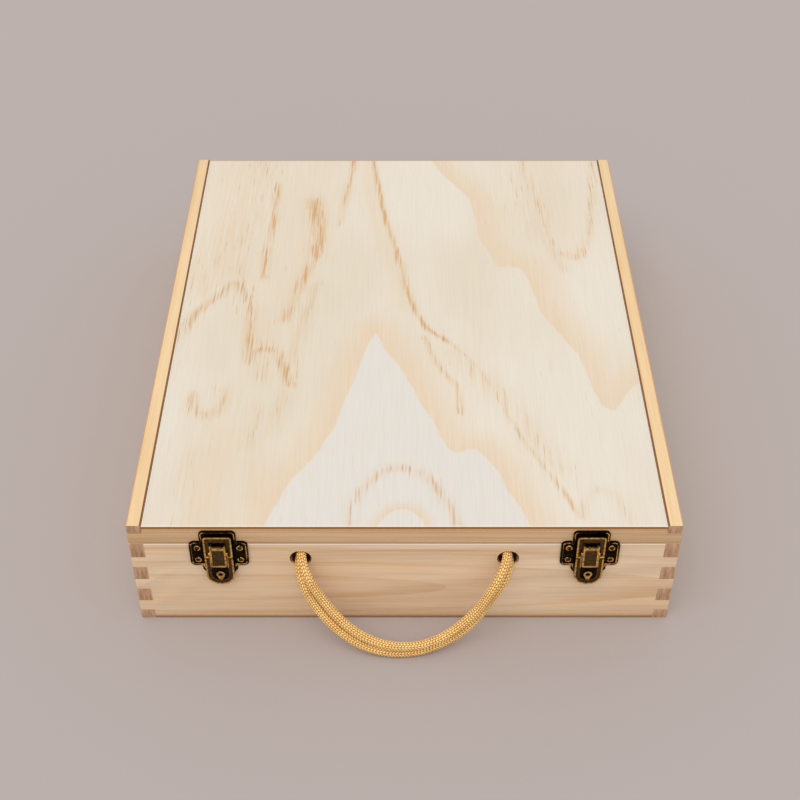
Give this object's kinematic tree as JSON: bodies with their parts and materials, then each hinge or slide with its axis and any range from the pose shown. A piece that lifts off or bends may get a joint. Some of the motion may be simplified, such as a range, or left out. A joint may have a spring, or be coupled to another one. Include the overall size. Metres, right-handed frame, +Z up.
{
  "type": "hinged wooden box",
  "caption": "Flat finger-jointed pine box with a hinged lid, plywood panels, toggle latches and a doubled rope handle.",
  "frame": {"origin": "centre of the box's underside, on the surface that it stands on", "axes": "+X to the right, +Y from the latches to the hinges, +Z up"},
  "size_m": [0.3, 0.4025, 0.076],
  "materials": {
    "pine": "planed, unfinished",
    "plywood": "sanded veneer, unfinished",
    "antique_brass": "dark antique patina with bright worn edges",
    "worn_brass": "antique, rubbed",
    "nail_brass": "antique",
    "gold_rope": "braided metallic yarn"
  },
  "bodies": {
    "base": {"front_wall": "pine", "back_wall": "pine", "left_wall": "pine", "right_wall": "pine", "bottom_panel": "plywood", "left_latch_plate": "antique_brass", "left_latch_bridge": "worn_brass", "left_lever_pin": "nail_brass", "left_plate_nails": "nail_brass", "left_hinge_base_leaf": "antique_brass", "left_hinge_pin": "nail_brass", "left_hinge_base_nails": "nail_brass", "left_rope_ends": "gold_rope", "left_rope_knot": "gold_rope", "right_latch_plate": "antique_brass", "right_latch_bridge": "worn_brass", "right_lever_pin": "nail_brass", "right_plate_nails": "nail_brass", "right_hinge_base_leaf": "antique_brass", "right_hinge_pin": "nail_brass", "right_hinge_base_nails": "nail_brass", "right_rope_ends": "gold_rope", "right_rope_knot": "gold_rope"},
    "lid": {"lid_front_rail": "pine", "lid_back_rail": "pine", "lid_left_rail": "pine", "lid_right_rail": "pine", "top_panel": "plywood", "left_latch_keeper": "antique_brass", "left_keeper_nails": "nail_brass", "left_hinge_lid_leaf": "antique_brass", "left_hinge_lid_nails": "nail_brass", "right_latch_keeper": "antique_brass", "right_keeper_nails": "nail_brass", "right_hinge_lid_leaf": "antique_brass", "right_hinge_lid_nails": "nail_brass"},
    "left_lever": {"left_latch_lever": "antique_brass", "left_hook_pins": "nail_brass"},
    "left_hook": {"left_latch_hook": "antique_brass"},
    "right_lever": {"right_latch_lever": "antique_brass", "right_hook_pins": "nail_brass"},
    "right_hook": {"right_latch_hook": "antique_brass"},
    "handle": {"rope_inner_strand": "gold_rope", "rope_outer_strand": "gold_rope"}
  },
  "joints": [
    {"name": "lid_hinge", "type": "hinge", "parent": "base", "child": "lid", "pos_m": [0, 0.1862, 0.062], "axis": [-1, 0, 0], "range_deg": [0, 180]},
    {"name": "left_lever_hinge", "type": "hinge", "parent": "base", "child": "left_lever", "pos_m": [-0.1013, -0.1876, 0.0577], "axis": [-1, 0, 0], "range_deg": [0, 120]},
    {"name": "left_hook_hinge", "type": "hinge", "parent": "left_lever", "child": "left_hook", "pos_m": [-0.1013, -0.1869, 0.0544], "axis": [-1, 0, 0], "range_deg": [-120, 0]},
    {"name": "right_lever_hinge", "type": "hinge", "parent": "base", "child": "right_lever", "pos_m": [0.1013, -0.1876, 0.0577], "axis": [-1, 0, 0], "range_deg": [0, 120]},
    {"name": "right_hook_hinge", "type": "hinge", "parent": "right_lever", "child": "right_hook", "pos_m": [0.1013, -0.1869, 0.0544], "axis": [-1, 0, 0], "range_deg": [-120, 0]},
    {"name": "handle_swing", "type": "hinge", "parent": "base", "child": "handle", "pos_m": [0, -0.187, 0.0497], "axis": [-1, 0, 0], "range_deg": [0, 110], "deforming": ["rope_inner_strand", "rope_outer_strand"]}
  ],
  "couplings": [
    {"joint": "left_hook_hinge", "follows": "left_lever_hinge", "ratio": -1},
    {"joint": "right_hook_hinge", "follows": "right_lever_hinge", "ratio": -1}
  ]
}
